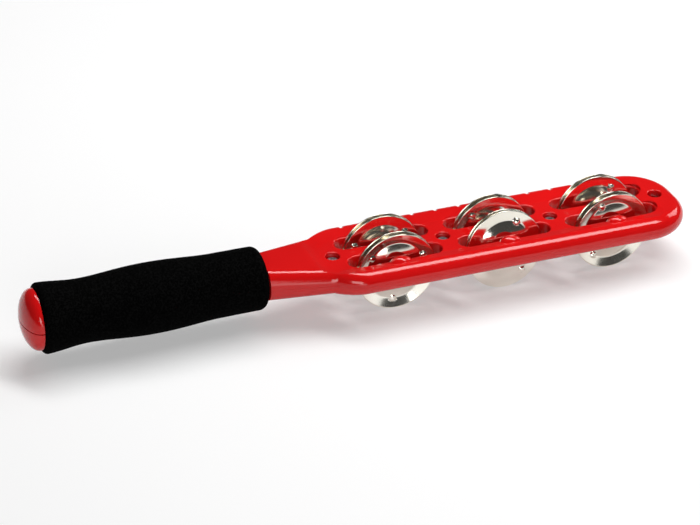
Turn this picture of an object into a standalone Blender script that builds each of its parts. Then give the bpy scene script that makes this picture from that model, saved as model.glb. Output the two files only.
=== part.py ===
"""Jingle stick: two half shells of red plastic held together by four screws, a foam grip on their
handle, and six pairs of steel jingles, each pair hung on a loose pin across one slot of the head.

Metres, +Z up, +X from the handle to the head. X = 0 and Y = 0 are the middle of the length and of
the width, and Z = 0 is the level that the jingles stand on. Heights inside the body are measured
from its middle plane, where the two shells meet, and MIDDLE lifts them to their place.
"""

import math

import bmesh
import bpy
from mathutils import Matrix, Vector

# Clearances
TOUCH = 0.0003
SEAM = 0.0003

# Jingles
STATIONS = 3
JINGLE_RADIUS = 0.0175
JINGLE_SHEET = 0.0005
JINGLE_SIDES = 20
DOME_RADIUS = 0.0126
DOME_FLAT = 0.0060
DOME_RISE = 0.0018
DOME_STEPS = 2
JINGLE_BORE = 0.0033
JINGLE_FLARE = 0.0010
PIP_RADIUS = 0.0015
PIP_RISE = 0.0011
PIP_CIRCLE = 0.0132
PIP_SINK = 0.00005
PIPS = 3
PAIR_GAP = 0.0007
SIDE_PLAY = 0.00035

# How far each visible jingle is turned on its pin, in degrees, handle end first
FRONT_TURNS = (25, 66, -7)
REAR_TURNS = (38, 11, 57)
PARTNER_TURN = 47

# Pins and their seats
PIN_RADIUS = 0.0014
PIN_SEAT = 0.0026
PIN_FLOOR = 0.0006
PIN_SIDES = 12

# Head, across
SPINE_WALL = 0.0006
RAIL_WIDTH = 0.0111
BOSS_REACH = 0.0015
BOSS_LENGTH = 0.0088
OUTER_BOSS_DEPTH = 0.0032
BOSS_DROP = 0.0002

# Head, along
SLOT_END_ROOM = 0.0035
CREASE_ROOM = 0.0010
END_ROOM = 0.0140
END_CORNER = 0.0200
SHOULDER_LENGTH = 0.0130

# Head, up and down
RIM_RISE = 0.00135
RIM_SLOPE_WIDTH = 0.0057
RIM_FOOT = 0.0001
END_RAMP = 0.0050
END_RAMP_FOOT = 0.0040
NECK_RAMP = 0.0040

# Grooves across the rear edge of the head, for scraping
GROOVES = 11
GROOVE_PITCH = 0.01085
GROOVE_START = 0.0165
GROOVE_DEPTH = 0.0012
GROOVE_RADIUS = 0.0016

# Neck and handle
NECK_LENGTH = 0.0265
NECK_WIDTH = 0.0240
NECK_END_WIDTH = 0.0356
NECK_END_RISE = 0.0004
NECK_EDGE = 0.0055
CORE_RADIUS = 0.0070
CORE_WALL = 0.0022
CHANNEL_END = 0.0040
BUTT_RADIUS = 0.0127
BUTT_LENGTH = 0.0070
STEP_LEAN = 0.0002

# Foam grip, as radii at shares of its length from the butt
GRIP_LENGTH = 0.0960
GRIP_RADII = ((0.0, 0.0147), (0.20, 0.0134), (0.50, 0.0149), (0.79, 0.0136), (1.0, 0.0134))
GRIP_BUTT_ROUND = 0.0018
GRIP_NECK_ROUND = 0.0032
GRIP_STEPS = 12
GRIP_BUTT_STEPS = 3
GRIP_NECK_STEPS = 4
GRIP_SIDES = 24

# Screws that hold the shells together
SCREW_RADIUS = 0.00145
SCREW_HEAD_RADIUS = 0.0026
SCREW_HEAD_RISE = 0.0012
SCREW_HEAD_EDGE = 0.0005
SCREW_CROWN_RADIUS = 0.0018
SCREW_CROWN_DROP = 0.00025
SCREW_POINT = 0.0007
SCREW_SIDES = 12
RECESS_RADIUS = 0.0030
RECESS_WALL = 0.0010
LEDGE = 0.0009
SCREW_FLOOR = 0.0009

# How finely round shapes are drawn
EDGE_STEPS = 5
CORNER_STEPS = 7
ARC_STEPS = 6
HOLE_SIDES = 16
NECK_STEPS = 4
SHOULDER_STEPS = 4
DOME_ROWS = 5
GROOVE_SIDES = 6
GROOVE_STEPS = 16
PIP_SIDES = 8
PIP_RINGS = 4

# Each shell is drawn this far past the seam, and the parting cut trims it there
OVERHANG = 0.0010

# A hole's cutter runs this far past the face that it opens
PAST = 0.0006

# Points closer together than this become one
WELD = 0.000002

# Sizes that follow, across the head: a slot holds a pair of jingles between two bosses
seam_level = SEAM / 2
pair_depth = PAIR_GAP / 2 + JINGLE_SHEET + DOME_RISE
slot_half = pair_depth + SIDE_PLAY + BOSS_REACH
spine_half = PIN_SEAT + TOUCH + SPINE_WALL
row_y = spine_half + slot_half
head_half = spine_half + 2 * slot_half + RAIL_WIDTH

# Up and down from the middle plane: the pins lie in the lower shell, under the upper one
pin_level = -seam_level - PIN_RADIUS
web_half = seam_level + 2 * PIN_RADIUS + TOUCH + PIN_FLOOR
rim_half = web_half + RIM_RISE
bore_flat = JINGLE_BORE * math.cos(math.pi / JINGLE_SIDES)
jingle_level = pin_level - (bore_flat - PIN_RADIUS - TOUCH)
MIDDLE = JINGLE_RADIUS * math.cos(math.pi / JINGLE_SIDES) - jingle_level

# Along the stick, from the butt to the far end of the head
slot_length = 2 * (JINGLE_RADIUS + SLOT_END_ROOM)
slot_gap = 2 * (RECESS_RADIUS + RECESS_WALL)
pitch = slot_length + slot_gap
head_length = CREASE_ROOM + slot_gap + STATIONS * slot_length + (STATIONS - 1) * slot_gap + END_ROOM
length = BUTT_LENGTH + GRIP_LENGTH + NECK_LENGTH + head_length
butt_x = -length / 2
grip_x = butt_x + BUTT_LENGTH
neck_x = grip_x + GRIP_LENGTH
crease_x = neck_x + NECK_LENGTH
first_screw_x = crease_x + CREASE_ROOM + slot_gap / 2
first_slot_x = first_screw_x + pitch / 2
end_x = length / 2
slots_end_x = end_x - END_ROOM


def clear_scene():
    for item in list(bpy.data.objects):
        bpy.data.objects.remove(item, do_unlink=True)


def new_collection(name, hidden=False):
    collection = bpy.data.collections.new(name)
    bpy.context.scene.collection.children.link(collection)
    collection.hide_render = hidden
    return collection


def new_material(name, colour, roughness, metallic=0.0):
    material = bpy.data.materials.new(name)
    material.use_nodes = True
    shader = material.node_tree.nodes["Principled BSDF"]
    shader.inputs["Base Color"].default_value = (*colour, 1.0)
    shader.inputs["Roughness"].default_value = roughness
    shader.inputs["Metallic"].default_value = metallic
    return material


def add_part(name, mesh, material):
    part = bpy.data.objects.new(name, mesh)
    PARTS.objects.link(part)
    mesh.materials.append(material)
    return part


def add_cutter(name, mesh):
    cutter = bpy.data.objects.new(name, mesh)
    CUTTERS.objects.link(cutter)
    cutter.hide_render = True
    cutter.display_type = "WIRE"
    return cutter


def mesh_of(name, builder):
    """A mesh filled by a function that works on a bmesh."""
    mesh = bpy.data.meshes.new(name)
    shape = bmesh.new()
    builder(shape)
    shape.to_mesh(mesh)
    shape.free()
    return mesh


def smooth(mesh, degrees=35):
    mesh.shade_smooth()
    mesh.set_sharp_from_angle(angle=math.radians(degrees))


def boolean(part, cutter, operation="DIFFERENCE"):
    cut = part.modifiers.new(cutter.name, "BOOLEAN")
    cut.operation = operation
    cut.object = cutter
    cut.solver = "EXACT"


def turned(part, steps):
    """Turns the part's profile about its own Z axis."""
    screw = part.modifiers.new("turn", "SCREW")
    screw.steps = steps
    screw.render_steps = steps
    screw.use_merge_vertices = True
    screw.merge_threshold = WELD
    screw.use_smooth_shade = True


def profile_mesh(name, points, closed):
    """Edges through (radius, height) points, in the XZ plane."""
    mesh = bpy.data.meshes.new(name)
    edges = [(i, i + 1) for i in range(len(points) - 1)]
    if closed:
        edges.append((len(points) - 1, 0))
    mesh.from_pydata([(radius, 0, height) for radius, height in points], edges, [])
    return mesh


def ring(x, y, radius_x, radius_y, sides):
    """The points of an ellipse in plan."""
    turns = [2 * math.pi * (side + 0.5) / sides for side in range(sides)]
    return [(x + radius_x * math.cos(a), y + radius_y * math.sin(a)) for a in turns]


def stadium(x, y, half_length, half_width):
    """The points of a slot with round ends, lying along X."""
    points = []
    for end, start in ((1, -90), (-1, 90)):
        centre = x + end * (half_length - half_width)
        for step in range(ARC_STEPS + 1):
            angle = math.radians(start + 180 * step / ARC_STEPS)
            points.append((centre + half_width * math.cos(angle), y + half_width * math.sin(angle)))
    return points


def plate(name, outlines, low, high):
    """A mesh of flat outlines in XY, each filled and raised from low to high."""
    curve = bpy.data.curves.new(name, "CURVE")
    curve.dimensions = "2D"
    curve.fill_mode = "BOTH"
    curve.extrude = (high - low) / 2
    for outline in outlines:
        spline = curve.splines.new("POLY")
        spline.points.add(len(outline) - 1)
        spline.use_cyclic_u = True
        for point, (x, y) in zip(spline.points, outline):
            point.co = (x, y, 0, 1)
    drawn = bpy.data.objects.new(name, curve)
    CUTTERS.objects.link(drawn)
    graph = bpy.context.evaluated_depsgraph_get()
    mesh = bpy.data.meshes.new_from_object(drawn.evaluated_get(graph))
    bpy.data.objects.remove(drawn)
    bpy.data.curves.remove(curve)

    shape = bmesh.new()
    shape.from_mesh(mesh)
    bmesh.ops.remove_doubles(shape, verts=shape.verts, dist=WELD)
    bmesh.ops.recalc_face_normals(shape, faces=shape.faces)
    bmesh.ops.translate(shape, vec=(0, 0, (high + low) / 2), verts=shape.verts)
    shape.to_mesh(mesh)
    shape.free()
    return mesh


def edge_section(edge, inward, reach, height, foot_x, top_x):
    """A section of half a shell: the foot, the rounded edge and the top, up to the middle line."""
    points = [Vector((foot_x, 0, -OVERHANG)), Vector((edge.x, edge.y, -OVERHANG))]
    for step in range(EDGE_STEPS + 1):
        angle = math.pi / 2 * step / EDGE_STEPS
        across = edge + inward * reach * (1 - math.cos(angle))
        rise = seam_level + (height - seam_level) * math.sin(angle)
        points.append(Vector((across.x, across.y, rise)))
    points.append(Vector((top_x, 0, height)))
    return points


def cross_section(x, half_width, half_height, reach):
    return edge_section(Vector((x, half_width)), Vector((0, -1)), reach, half_height, x, x)


def butt_sections():
    """The domed butt, from its tip to the foam."""
    sections = []
    for row in range(1, DOME_ROWS + 1):
        angle = math.pi / 2 * row / DOME_ROWS
        radius = BUTT_RADIUS * math.sin(angle)
        sections.append(cross_section(grip_x - BUTT_LENGTH * math.cos(angle), radius, radius, radius))
    tip = cross_section(butt_x, 0, seam_level, 0)
    return [tip] + sections


def neck_sections():
    """The flat neck, which widens and thins from the foam to the head."""
    sections = []
    for row in range(NECK_STEPS + 1):
        share = row / NECK_STEPS
        half_width = (NECK_WIDTH + (NECK_END_WIDTH - NECK_WIDTH) * share) / 2
        half_height = CORE_RADIUS + (rim_half + NECK_END_RISE - CORE_RADIUS) * share
        sections.append(cross_section(neck_x + NECK_LENGTH * share, half_width, half_height, NECK_EDGE))
    return sections


def head_sections():
    """The shoulders, the straight sides and the two rounded corners of the head."""
    edge = rim_half
    start = NECK_END_WIDTH / 2
    sections = []
    for row in range(1, SHOULDER_STEPS + 1):
        share = row / SHOULDER_STEPS
        half_width = start + (head_half - start) * math.sin(math.pi / 2 * share)
        sections.append(cross_section(crease_x + SHOULDER_LENGTH * share, half_width, rim_half, edge))
    corner = Vector((end_x - END_CORNER, head_half - END_CORNER))
    for row in range(CORNER_STEPS + 1):
        angle = math.pi / 2 * (1 - row / CORNER_STEPS)
        outward = Vector((math.cos(angle), math.sin(angle)))
        rim = corner + outward * END_CORNER
        top_x = rim.x - outward.x * edge
        sections.append(edge_section(rim, -outward, edge, rim_half, rim.x, top_x))
    middle = Vector((end_x, 0))
    sections.append(edge_section(middle, Vector((-1, 0)), edge, rim_half, end_x, end_x - edge))
    return sections


def shell_skin(name, side):
    """Half of one shell's outer form, lofted along the stick and left open at the middle line.
    Side 1 is the upper shell and -1 the lower one."""
    core_ends = (grip_x + STEP_LEAN, neck_x - STEP_LEAN)
    core = [cross_section(x, CORE_RADIUS, CORE_RADIUS, CORE_RADIUS) for x in core_ends]
    sections = butt_sections() + core + neck_sections() + head_sections()

    def build(shape):
        rows = []
        for section in sections:
            rows.append([shape.verts.new((point.x, point.y, side * point.z)) for point in section])
        for row, following in zip(rows, rows[1:]):
            for i in range(len(row) - 1):
                corners = [row[i], row[i + 1], following[i + 1], following[i]]
                shape.faces.new(corners if side > 0 else corners[::-1])
        bmesh.ops.remove_doubles(shape, verts=shape.verts, dist=WELD)

    mesh = mesh_of(name, build)
    smooth(mesh)
    return mesh


def pocket_mesh():
    """A tapered block that sinks the web between the rims: its sides lean outwards as they rise."""
    rise = 2 * RIM_RISE
    side_lean = RIM_SLOPE_WIDTH / RIM_RISE * rise
    neck_lean = NECK_RAMP / (rim_half + NECK_END_RISE - web_half) * rise
    end_lean = END_RAMP / RIM_RISE * rise
    floor_half = spine_half + 2 * slot_half + RIM_FOOT
    floor_end = slots_end_x - END_RAMP_FOOT

    def build(shape):
        bmesh.ops.create_cube(shape, size=2)
        for corner in shape.verts:
            top = corner.co.z > 0
            far = corner.co.x > 0
            x = floor_end + top * end_lean if far else crease_x - top * neck_lean
            y = math.copysign(floor_half + top * side_lean, corner.co.y)
            corner.co = (x, y, web_half + top * rise)

    return mesh_of("pocket", build)


def groove_mesh():
    """Rings round the rear edge of the head, sunk most where the edge is widest."""
    ring_radius = rim_half + GROOVE_RADIUS
    centre_y = head_half - rim_half - GROOVE_DEPTH

    def build(shape):
        for groove in range(GROOVES):
            x = crease_x + GROOVE_START + groove * GROOVE_PITCH
            bpy.ops.mesh.primitive_torus_add(
                major_radius=ring_radius,
                minor_radius=GROOVE_RADIUS,
                major_segments=GROOVE_STEPS,
                minor_segments=GROOVE_SIDES,
            )
            made = bpy.context.object
            turn = Matrix.Translation((x, centre_y, 0)) @ Matrix.Rotation(math.pi / 2, 4, "Y")
            made.data.transform(turn)
            shape.from_mesh(made.data)
            bpy.data.objects.remove(made)
        # Only the outer half of each ring is kept, from the crest of the rim to its underside.
        cut = bmesh.ops.bisect_plane(
            shape,
            geom=shape.verts[:] + shape.edges[:] + shape.faces[:],
            plane_co=(0, centre_y, 0),
            plane_no=(0, -1, 0),
            clear_outer=True,
        )
        rims = [item for item in cut["geom_cut"] if isinstance(item, bmesh.types.BMEdge)]
        bmesh.ops.holes_fill(shape, edges=rims)
        bmesh.ops.recalc_face_normals(shape, faces=shape.faces)

    return mesh_of("grooves", build)


def parting_mesh():
    """A block that trims the upper shell flat at the seam."""
    along = length
    across = 2 * head_half
    outline = [(-along, -across), (along, -across), (along, across), (-along, across)]
    return plate("parting", [outline], -2 * rim_half, seam_level)


def channel_mesh():
    """The hollow of the handle, from the butt to the neck."""
    start = grip_x - CHANNEL_END
    end = neck_x - CHANNEL_END

    def build(shape):
        turn = Matrix.Translation(((start + end) / 2, 0, 0)) @ Matrix.Rotation(math.pi / 2, 4, "Y")
        radius = CORE_RADIUS - CORE_WALL
        bmesh.ops.create_cone(
            shape,
            cap_ends=True,
            segments=HOLE_SIDES,
            radius1=radius,
            radius2=radius,
            depth=end - start,
            matrix=turn,
        )

    return mesh_of("channel", build)


def pin_span():
    """Where a pin starts and ends, measured from the middle line of the head."""
    return spine_half - PIN_SEAT, spine_half + 2 * slot_half + PIN_SEAT


def pin_seat_mesh():
    """The troughs that the pins lie in, open at the top of the lower shell."""
    radius = PIN_RADIUS + TOUCH
    start, end = pin_span()
    outlines = []
    for x in slot_places():
        arc = [math.pi * (1 + step / ARC_STEPS) for step in range(ARC_STEPS + 1)]
        trough = [(x + radius * math.cos(a), pin_level + radius * math.sin(a)) for a in arc]
        outlines.append(trough + [(x + radius, PAST), (x - radius, PAST)])
    seats = bmesh.new()
    for side in (1, -1):
        # The outlines lie in XY, so they are stood up to run along Y.
        half = plate("pin_seats", outlines, start - TOUCH, end + TOUCH)
        half.transform(Matrix.Rotation(math.pi / 2, 4, "X"))
        if side > 0:
            half.transform(Matrix.Scale(-1, 4, (0, 1, 0)))
            half.flip_normals()
        seats.from_mesh(half)
    mesh = bpy.data.meshes.new("pin_seats")
    seats.to_mesh(mesh)
    seats.free()
    return mesh


def slot_places():
    return [first_slot_x + station * pitch for station in range(STATIONS)]


def screw_places():
    return [first_screw_x + station * pitch for station in range(STATIONS + 1)]


def slot_outlines():
    return [
        stadium(x, side * row_y, slot_length / 2, slot_half) for x in slot_places() for side in (1, -1)
    ]


def boss_outlines(wall, depth):
    """D-shaped bosses that stand out from the slot walls at this distance from the middle line."""
    outlines = []
    for x in slot_places():
        for side in (1, -1):
            outlines.append(ring(x, side * wall, BOSS_LENGTH / 2, depth, HOLE_SIDES))
    return outlines


def boss_meshes(side):
    """The outer bosses rise almost to the rim, and the inner ones almost to the web."""
    outer_wall = spine_half + 2 * slot_half + OUTER_BOSS_DEPTH - BOSS_REACH
    outer_outlines = boss_outlines(outer_wall, OUTER_BOSS_DEPTH)
    inner_outlines = boss_outlines(spine_half, BOSS_REACH)
    outer = plate("outer_bosses", outer_outlines, -OVERHANG / 2, rim_half - BOSS_DROP)
    inner = plate("inner_bosses", inner_outlines, -OVERHANG / 2, web_half - BOSS_DROP)
    if side < 0:
        for mesh in (outer, inner):
            mesh.transform(Matrix.Scale(-1, 4, (0, 0, 1)))
            mesh.flip_normals()
    return outer, inner


def add_shell(name, side, shared, own):
    """One half shell: its skin is mirrored over the middle line, then cut and joined in turn."""
    shell = add_part(name, shell_skin(name, side), RED)
    mirror = shell.modifiers.new("both sides", "MIRROR")
    mirror.use_axis = (False, True, False)
    mirror.merge_threshold = WELD
    flip = Matrix.Scale(side, 4, (0, 0, 1))
    pocket = pocket_mesh()
    pocket.transform(flip)
    if side < 0:
        pocket.flip_normals()
    boolean(shell, add_cutter(f"{name}_pocket", pocket))
    boolean(shell, shared["slots"])
    for mesh in boss_meshes(side):
        boolean(shell, add_cutter(f"{name}_{mesh.name}", mesh), "UNION")
    for cutter in own:
        boolean(shell, cutter)
    boolean(shell, shared["grooves"])
    boolean(shell, shared["channel"])
    parting = parting_mesh()
    parting.transform(flip)
    if side < 0:
        parting.flip_normals()
    boolean(shell, add_cutter(f"{name}_parting", parting))
    shell.location.z = MIDDLE
    return shell


def add_shells():
    reach = 2 * rim_half
    shank = SCREW_RADIUS + TOUCH
    recess = [ring(x, 0, RECESS_RADIUS, RECESS_RADIUS, HOLE_SIDES) for x in screw_places()]
    hole = [ring(x, 0, shank, shank, SCREW_SIDES) for x in screw_places()]
    shared = {
        "slots": add_cutter("slots", plate("slots", slot_outlines(), -reach, reach)),
        "grooves": add_cutter("grooves", groove_mesh()),
        "channel": add_cutter("channel", channel_mesh()),
    }
    upper_cutters = [
        add_cutter("screw_recesses", plate("screw_recesses", recess, LEDGE, reach)),
        add_cutter("screw_passages", plate("screw_passages", hole, -PAST, LEDGE + PAST)),
    ]
    lower_cutters = [
        add_cutter("pin_seats", pin_seat_mesh()),
        add_cutter("screw_pilots", plate("screw_pilots", hole, SCREW_FLOOR - web_half, PAST)),
    ]
    upper = add_shell("upper_shell", 1, shared, upper_cutters)
    lower = add_shell("lower_shell", -1, shared, lower_cutters)
    for cutter in CUTTERS.objects:
        cutter.location.z = MIDDLE
    return upper, lower


def grip_radius(share):
    """The foam's radius at this share of its length, eased from one swell or waist to the next."""
    for (start, low), (end, high) in zip(GRIP_RADII, GRIP_RADII[1:]):
        if share <= end:
            ease = (1 - math.cos(math.pi * (share - start) / (end - start))) / 2
            return low + (high - low) * ease
    return GRIP_RADII[-1][1]


def grip_profile():
    """The foam's outer side from the neck to the butt, with rounded ends, then its bore."""
    first = grip_x + TOUCH
    last = neck_x - TOUCH
    points = []
    for step in range(GRIP_NECK_STEPS):
        angle = math.pi / 2 * step / GRIP_NECK_STEPS
        fall = GRIP_NECK_ROUND * (1 - math.sin(angle))
        points.append((grip_radius(1.0) - fall, last - GRIP_NECK_ROUND * (1 - math.cos(angle))))
    for step in range(GRIP_STEPS + 1):
        x = last - GRIP_NECK_ROUND - (last - first - GRIP_NECK_ROUND - GRIP_BUTT_ROUND) * step / GRIP_STEPS
        points.append((grip_radius((x - grip_x) / GRIP_LENGTH), x))
    for step in range(1, GRIP_BUTT_STEPS + 1):
        angle = math.pi / 2 * step / GRIP_BUTT_STEPS
        fall = GRIP_BUTT_ROUND * (1 - math.cos(angle))
        points.append((grip_radius(0.0) - fall, first + GRIP_BUTT_ROUND * (1 - math.sin(angle))))
    bore = CORE_RADIUS + TOUCH
    return points + [(bore, first), (bore, last)]


def add_grip():
    grip = add_part("foam_grip", profile_mesh("foam_grip", grip_profile(), True), FOAM)
    turned(grip, GRIP_SIDES)
    grip.rotation_euler.y = math.pi / 2
    grip.location.z = MIDDLE


def add_screws():
    """Four self-tapping screws, driven from above down the spine of the head."""
    seat = LEDGE + TOUCH
    top = seat + SCREW_HEAD_RISE
    tip = SCREW_FLOOR - web_half + TOUCH
    head = SCREW_HEAD_RADIUS
    points = [(0, top), (SCREW_CROWN_RADIUS, top - SCREW_CROWN_DROP), (head, seat + SCREW_HEAD_EDGE)]
    points += [(head, seat), (SCREW_RADIUS, seat), (SCREW_RADIUS, tip + SCREW_POINT), (0, tip)]
    mesh = profile_mesh("screw", points, False)
    mesh.materials.append(PLATED)
    for number, x in enumerate(screw_places(), start=1):
        screw = bpy.data.objects.new(f"screw_{number}", mesh)
        PARTS.objects.link(screw)
        turned(screw, SCREW_SIDES)
        screw.location = (x, 0, MIDDLE)


def jingle_profile():
    """One cupped disc of sheet: a flat top round the bore, a dome, a crease and a flared flange."""
    outside = [(JINGLE_BORE, DOME_RISE)]
    for step in range(DOME_STEPS + 1):
        share = step / DOME_STEPS
        outside.append((DOME_FLAT + (DOME_RADIUS - DOME_FLAT) * share, DOME_RISE * (1 - share**2)))
    outside.append((JINGLE_RADIUS, JINGLE_FLARE))
    outer = [(radius, height + JINGLE_SHEET) for radius, height in outside]
    return outer + outside[::-1]


def pip_mesh(turn):
    """Low domes on the flange, at equal angles from this one in degrees, sunk a little into the sheet."""
    foot = JINGLE_SHEET - PIP_SINK

    def build(shape):
        for pip in range(PIPS):
            angle = math.radians(turn + 360 / PIPS * pip)
            centre = (PIP_CIRCLE * math.cos(angle), PIP_CIRCLE * math.sin(angle), foot)
            flat = Matrix.Diagonal((1, 1, PIP_RISE / PIP_RADIUS, 1))
            place = Matrix.Translation(centre) @ flat
            bmesh.ops.create_uvsphere(
                shape, u_segments=PIP_SIDES, v_segments=PIP_RINGS, radius=PIP_RADIUS, matrix=place
            )
        cut = bmesh.ops.bisect_plane(
            shape,
            geom=shape.verts[:] + shape.edges[:] + shape.faces[:],
            plane_co=(0, 0, foot),
            plane_no=(0, 0, 1),
            dist=WELD,
            clear_inner=True,
        )
        rims = [item for item in cut["geom_cut"] if isinstance(item, bmesh.types.BMEdge)]
        bmesh.ops.holes_fill(shape, edges=rims)
        bmesh.ops.recalc_face_normals(shape, faces=shape.faces)

    return mesh_of("pips", build)


def add_jingle(name, pin, outward, turn):
    """A disc on its pin. Outward is 1 or -1 along Y, the way that its dome faces."""
    jingle = add_part(name, profile_mesh(name, jingle_profile(), True), NICKEL)
    turned(jingle, JINGLE_SIDES)
    # The object's own Z axis is the dome's, and half a side more puts a flat side at the bottom.
    half_side = math.pi / JINGLE_SIDES
    stand = Matrix.Rotation(-outward * math.pi / 2, 4, "X") @ Matrix.Rotation(half_side, 4, "Z")
    place = Vector((pin.location.x, pin.location.y + outward * PAIR_GAP / 2, MIDDLE + jingle_level))
    jingle.matrix_world = Matrix.Translation(place) @ stand
    pips = add_cutter(f"{name}_pips", pip_mesh(-outward * turn - math.degrees(half_side)))
    pips.matrix_world = jingle.matrix_world
    boolean(jingle, pips, "UNION")
    bpy.context.view_layer.update()
    jingle.parent = pin
    jingle.matrix_parent_inverse = pin.matrix_world.inverted()


def add_pin(name, x, side):
    """A plain steel pin, whose origin is on the axis that its pair of jingles turns about."""
    start, end = pin_span()

    def build(shape):
        bmesh.ops.create_cone(
            shape,
            cap_ends=True,
            segments=PIN_SIDES,
            radius1=PIN_RADIUS,
            radius2=PIN_RADIUS,
            depth=end - start,
            matrix=Matrix.Rotation(math.pi / 2, 4, "X"),
        )

    mesh = mesh_of(name, build)
    smooth(mesh)
    pin = add_part(name, mesh, STEEL)
    pin.location = (x, side * row_y, MIDDLE + pin_level)
    bpy.context.view_layer.update()
    return pin


def add_jingle_pairs():
    for row, side, turns in (("front", -1, FRONT_TURNS), ("rear", 1, REAR_TURNS)):
        for station, x in enumerate(slot_places()):
            label = f"{row}_{station + 1}"
            pin = add_pin(f"pin_{label}", x, side)
            shown = turns[station % len(turns)]
            hidden = shown + PARTNER_TURN
            # The near disc of each pair is the one that faces -Y.
            add_jingle(f"jingle_{label}_near", pin, -1, shown)
            add_jingle(f"jingle_{label}_far", pin, 1, hidden)


clear_scene()
PARTS = new_collection("jingle_stick")
CUTTERS = new_collection("cutters", hidden=True)
RED = new_material("red_plastic", (0.64, 0.005, 0.006), 0.22)
FOAM = new_material("black_foam", (0.012, 0.012, 0.013), 0.9)
NICKEL = new_material("nickel_plate", (0.78, 0.75, 0.70), 0.06, 1.0)
STEEL = new_material("bright_steel", (0.62, 0.61, 0.60), 0.25, 1.0)
PLATED = new_material("zinc_plate", (0.55, 0.55, 0.56), 0.35, 1.0)
add_shells()
add_grip()
add_screws()
add_jingle_pairs()
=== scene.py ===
# %% [markdown]
# # A jingle stick
# The stick is two half shells of glossy red plastic, a black foam grip, and six pairs of nickel-plated
# jingles that hang on pins across six slots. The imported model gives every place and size. This scene
# models the surfaces again with finer curves, gives each piece its finish, and lights it in a studio.

# %% Load the frame
import math

import bmesh
import bpy
from mathutils import Matrix, Vector

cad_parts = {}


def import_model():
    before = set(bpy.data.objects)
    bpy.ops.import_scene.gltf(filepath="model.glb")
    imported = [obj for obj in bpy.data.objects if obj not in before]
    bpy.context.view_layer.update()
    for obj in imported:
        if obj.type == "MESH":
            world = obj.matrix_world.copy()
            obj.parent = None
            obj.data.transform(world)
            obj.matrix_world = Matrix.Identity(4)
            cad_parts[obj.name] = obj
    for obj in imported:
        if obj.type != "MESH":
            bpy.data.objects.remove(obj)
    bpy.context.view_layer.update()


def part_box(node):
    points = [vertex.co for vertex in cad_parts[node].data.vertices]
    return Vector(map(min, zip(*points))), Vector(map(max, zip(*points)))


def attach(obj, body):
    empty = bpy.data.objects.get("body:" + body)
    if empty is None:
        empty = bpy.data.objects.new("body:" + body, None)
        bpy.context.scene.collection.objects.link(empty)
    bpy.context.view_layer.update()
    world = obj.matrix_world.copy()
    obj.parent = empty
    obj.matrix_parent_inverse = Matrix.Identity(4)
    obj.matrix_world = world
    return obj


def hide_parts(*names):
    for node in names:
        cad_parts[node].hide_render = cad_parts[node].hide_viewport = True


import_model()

# %% [markdown]
# ## Places that everything shares
# The two shells meet at a middle plane. Its height, and the places of the slots and screws, are read
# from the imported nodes, so that a finer piece lies exactly where its solid does. The other sizes are
# those of the moulding: its slots, the sunk web and the raised rim round it. All are in metres. The
# shells are first made round a middle plane at zero height, so a half height is counted from there.

# %% Places and sizes
ROWS = ("front", "rear")
NUMBERS = (1, 2, 3)
SCREWS = (1, 2, 3, 4)
# The seam between the shells is a tenth as wide as the gap between their solids.
SEAM_SHARE = 0.1
GRIP_CLEARANCE = 0.0003
upper_low, upper_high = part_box("upper_shell")
lower_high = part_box("lower_shell")[1]
MIDDLE = (upper_low.z + lower_high.z) / 2
SEAM = (upper_low.z - lower_high.z) / 2 * SEAM_SHARE
END_X, HEAD_HALF = upper_high.x, upper_high.y


def middle_of(node):
    low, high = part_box(node)
    return (low + high) / 2


slot_x = [middle_of(f"pin_front_{number}").x for number in NUMBERS]
screw_x = [middle_of(f"screw_{number}").x for number in SCREWS]
ROW_Y = middle_of("pin_rear_1").y
CREASE_X = screw_x[0] - 0.0050
NECK_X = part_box("foam_grip")[1].x + GRIP_CLEARANCE
GRIP_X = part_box("foam_grip")[0].x - GRIP_CLEARANCE
SLOT_HALF_LENGTH = 0.0210
SLOT_HALF_WIDTH = 0.0045
WEB_HALF = 0.00385
RIM_HALF = 0.00520
print("middle plane", round(MIDDLE, 5), "slots at", [round(x, 4) for x in slot_x])

# %% [markdown]
# ## Small helpers
# A finished mesh comes from a bmesh. It keeps its place in its vertices, with the object at the origin,
# rides on a body of the imported model, stands for one of its nodes, and takes its finish straight from
# the material that it is given.

# %% Turning a bmesh into a piece
def helper(name, shape):
    """An object of this bmesh, with no finish yet."""
    mesh = bpy.data.meshes.new(name)
    shape.to_mesh(mesh)
    shape.free()
    made = bpy.data.objects.new(name, mesh)
    bpy.context.scene.collection.objects.link(made)
    return made


def piece(name, shape, material, slot, body, *replaced):
    made = helper(name, shape)
    made.data.materials.append(material)
    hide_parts(*replaced)
    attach(made, body)
    return made


def smooth(made, degrees=30):
    made.data.shade_smooth()
    made.data.set_sharp_from_angle(angle=math.radians(degrees))


# %% [markdown]
# Two moves come again and again. A boolean modifier cuts one shape with another or joins the two, and
# is applied at once, so that the next cut works on plain mesh. And a turned shape is an outline that is
# spun about an axis: a full turn is merged where it ends, and a half turn is left open.

# %% Cutting and turning
# Corners that are nearer to each other than this become one.
WELD = 0.000002


def cut(body, tool, operation="DIFFERENCE"):
    """Cuts a helper object with another one, or joins the two, and removes the second."""
    modifier = body.modifiers.new(tool.name, "BOOLEAN")
    modifier.operation = operation
    modifier.object = tool
    modifier.solver = "EXACT"
    bpy.context.view_layer.update()
    graph = bpy.context.evaluated_depsgraph_get()
    mesh = bpy.data.meshes.new_from_object(body.evaluated_get(graph))
    body.modifiers.clear()
    body.data = mesh
    bpy.data.objects.remove(tool)


def shape_of(made):
    """A bmesh of this helper object, which is then removed."""
    shape = bmesh.new()
    shape.from_mesh(made.data)
    bpy.data.objects.remove(made)
    return shape


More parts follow.
